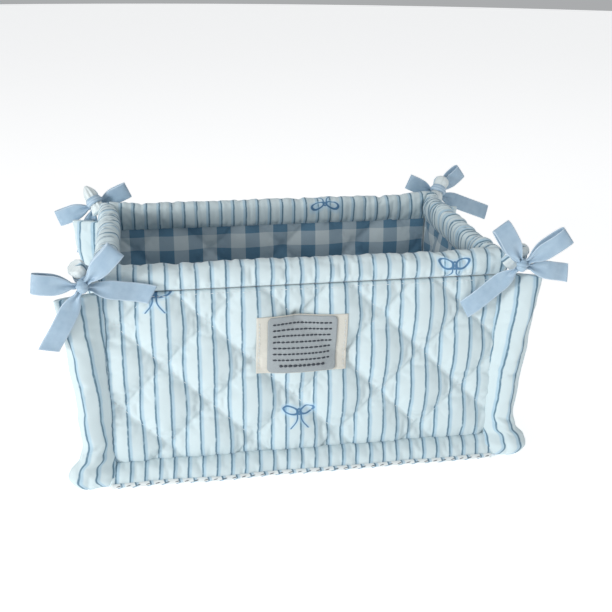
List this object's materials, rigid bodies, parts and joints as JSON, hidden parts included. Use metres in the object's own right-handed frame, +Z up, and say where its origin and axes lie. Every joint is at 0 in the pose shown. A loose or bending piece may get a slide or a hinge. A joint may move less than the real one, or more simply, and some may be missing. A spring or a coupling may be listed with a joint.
{
  "type": "sewing basket",
  "caption": "Rectangular quilted fabric sewing basket with a stuffed rim, standing corner seams, ribbon bows at the corners and a woven label on the front.",
  "frame": {"origin": "on the floor under the middle of the basket's base", "axes": "+X to the basket's right along its long side, +Y to the back, +Z up; the label is on the -Y wall"},
  "size_m": [0.4063, 0.2297, 0.1985],
  "materials": {
    "striped_cotton": "matte",
    "checked_lining": "matte",
    "wadding": "matte",
    "satin_ribbon": "satin",
    "binding_tape": "matte",
    "label_tape": "matte",
    "label_patch": "matte"
  },
  "bodies": {
    "basket": {"base_outer_panel": "striped_cotton", "base_wadding": "wadding", "base_lining": "checked_lining", "front_outer_panel": "striped_cotton", "front_wadding": "wadding", "front_lining": "checked_lining", "front_hem_casing": "striped_cotton", "front_hem_filler": "wadding", "back_outer_panel": "striped_cotton", "back_wadding": "wadding", "back_lining": "checked_lining", "back_hem_casing": "striped_cotton", "back_hem_filler": "wadding", "left_outer_panel": "striped_cotton", "left_wadding": "wadding", "left_lining": "checked_lining", "left_hem_casing": "striped_cotton", "left_hem_filler": "wadding", "right_outer_panel": "striped_cotton", "right_wadding": "wadding", "right_lining": "checked_lining", "right_hem_casing": "striped_cotton", "right_hem_filler": "wadding", "front_base_welt": "striped_cotton", "back_base_welt": "striped_cotton", "left_base_welt": "striped_cotton", "right_base_welt": "striped_cotton", "base_binding": "binding_tape", "front_left_corner_seam": "striped_cotton", "front_right_corner_seam": "striped_cotton", "back_left_corner_seam": "striped_cotton", "back_right_corner_seam": "striped_cotton", "front_left_hem_ear": "striped_cotton", "front_right_hem_ear": "striped_cotton", "back_left_hem_ear": "striped_cotton", "back_right_hem_ear": "striped_cotton", "front_left_bow_knot": "satin_ribbon", "front_right_bow_knot": "satin_ribbon", "back_left_bow_knot": "satin_ribbon", "back_right_bow_knot": "satin_ribbon", "label_tape": "label_tape", "label_patch": "label_patch"},
    "front_left_loop_left": {"front_left_loop_left": "satin_ribbon"},
    "front_left_loop_right": {"front_left_loop_right": "satin_ribbon"},
    "front_left_tail_left": {"front_left_tail_left": "satin_ribbon"},
    "front_left_tail_right": {"front_left_tail_right": "satin_ribbon"},
    "front_right_loop_left": {"front_right_loop_left": "satin_ribbon"},
    "front_right_loop_right": {"front_right_loop_right": "satin_ribbon"},
    "front_right_tail_left": {"front_right_tail_left": "satin_ribbon"},
    "front_right_tail_right": {"front_right_tail_right": "satin_ribbon"},
    "back_left_loop_left": {"back_left_loop_left": "satin_ribbon"},
    "back_left_loop_right": {"back_left_loop_right": "satin_ribbon"},
    "back_left_tail_left": {"back_left_tail_left": "satin_ribbon"},
    "back_left_tail_right": {"back_left_tail_right": "satin_ribbon"},
    "back_right_loop_left": {"back_right_loop_left": "satin_ribbon"},
    "back_right_loop_right": {"back_right_loop_right": "satin_ribbon"},
    "back_right_tail_left": {"back_right_tail_left": "satin_ribbon"},
    "back_right_tail_right": {"back_right_tail_right": "satin_ribbon"}
  },
  "joints": [
    {"name": "front_left_loop_left_flex", "type": "hinge", "parent": "basket", "child": "front_left_loop_left", "pos_m": [-0.16433, -0.10637, 0.16382], "axis": [0.139, 0.0073, 0.9903], "range_deg": [0, 25]},
    {"name": "front_left_loop_right_flex", "type": "hinge", "parent": "basket", "child": "front_left_loop_right", "pos_m": [-0.15264, -0.10633, 0.16797], "axis": [0.7296, -0.051, -0.682], "range_deg": [0, 25]},
    {"name": "front_left_tail_left_flap", "type": "hinge", "parent": "basket", "child": "front_left_tail_left", "pos_m": [-0.16084, -0.10667, 0.15678], "axis": [-0.8501, -0.1652, 0.5], "range_deg": [0, 60]},
    {"name": "front_left_tail_right_flap", "type": "hinge", "parent": "basket", "child": "front_left_tail_right", "pos_m": [-0.15076, -0.10459, 0.16115], "axis": [-0.2366, -0.0503, -0.9703], "range_deg": [0, 60]},
    {"name": "front_right_loop_left_flex", "type": "hinge", "parent": "basket", "child": "front_right_loop_left", "pos_m": [0.15361, -0.1064, 0.16872], "axis": [0.8341, 0.0877, 0.5446], "range_deg": [0, 25]},
    {"name": "front_right_loop_right_flex", "type": "hinge", "parent": "basket", "child": "front_right_loop_right", "pos_m": [0.16301, -0.10679, 0.16696], "axis": [0.5821, -0.0818, -0.809], "range_deg": [0, 25]},
    {"name": "front_right_tail_left_flap", "type": "hinge", "parent": "basket", "child": "front_right_tail_left", "pos_m": [0.15246, -0.10468, 0.15807], "axis": [-0.6588, 0.1765, 0.7314], "range_deg": [0, 60]},
    {"name": "front_right_tail_right_flap", "type": "hinge", "parent": "basket", "child": "front_right_tail_right", "pos_m": [0.16425, -0.10624, 0.16139], "axis": [-0.2078, 0.0073, -0.9781], "range_deg": [0, 60]},
    {"name": "back_left_loop_left_flex", "type": "hinge", "parent": "basket", "child": "back_left_loop_left", "pos_m": [-0.16396, 0.10658, 0.16045], "axis": [0.3407, -0.0298, -0.9397], "range_deg": [0, 25]},
    {"name": "back_left_loop_right_flex", "type": "hinge", "parent": "basket", "child": "back_left_loop_right", "pos_m": [-0.15112, 0.10512, 0.1658], "axis": [-0.4185, 0.0588, 0.9063], "range_deg": [0, 25]},
    {"name": "back_left_tail_left_flap", "type": "hinge", "parent": "basket", "child": "back_left_tail_left", "pos_m": [-0.1593, 0.10634, 0.15612], "axis": [0.9467, -0.1669, -0.2756], "range_deg": [0, 60]},
    {"name": "back_left_tail_right_flap", "type": "hinge", "parent": "basket", "child": "back_left_tail_right", "pos_m": [-0.15194, 0.10523, 0.15854], "axis": [0.6097, -0.0857, 0.788], "range_deg": [0, 60]},
    {"name": "back_right_loop_left_flex", "type": "hinge", "parent": "basket", "child": "back_right_loop_left", "pos_m": [0.15112, 0.10512, 0.1658], "axis": [-0.4185, -0.0588, -0.9063], "range_deg": [0, 25]},
    {"name": "back_right_loop_right_flex", "type": "hinge", "parent": "basket", "child": "back_right_loop_right", "pos_m": [0.16282, 0.10705, 0.16715], "axis": [-0.6043, -0.1175, 0.788], "range_deg": [0, 25]},
    {"name": "back_right_tail_left_flap", "type": "hinge", "parent": "basket", "child": "back_right_tail_left", "pos_m": [0.15394, 0.10551, 0.15678], "axis": [0.8576, 0.1205, -0.5], "range_deg": [0, 60]},
    {"name": "back_right_tail_right_flap", "type": "hinge", "parent": "basket", "child": "back_right_tail_right", "pos_m": [0.16389, 0.10634, 0.16022], "axis": [0.3741, 0.0196, 0.9272], "range_deg": [0, 60]}
  ]
}
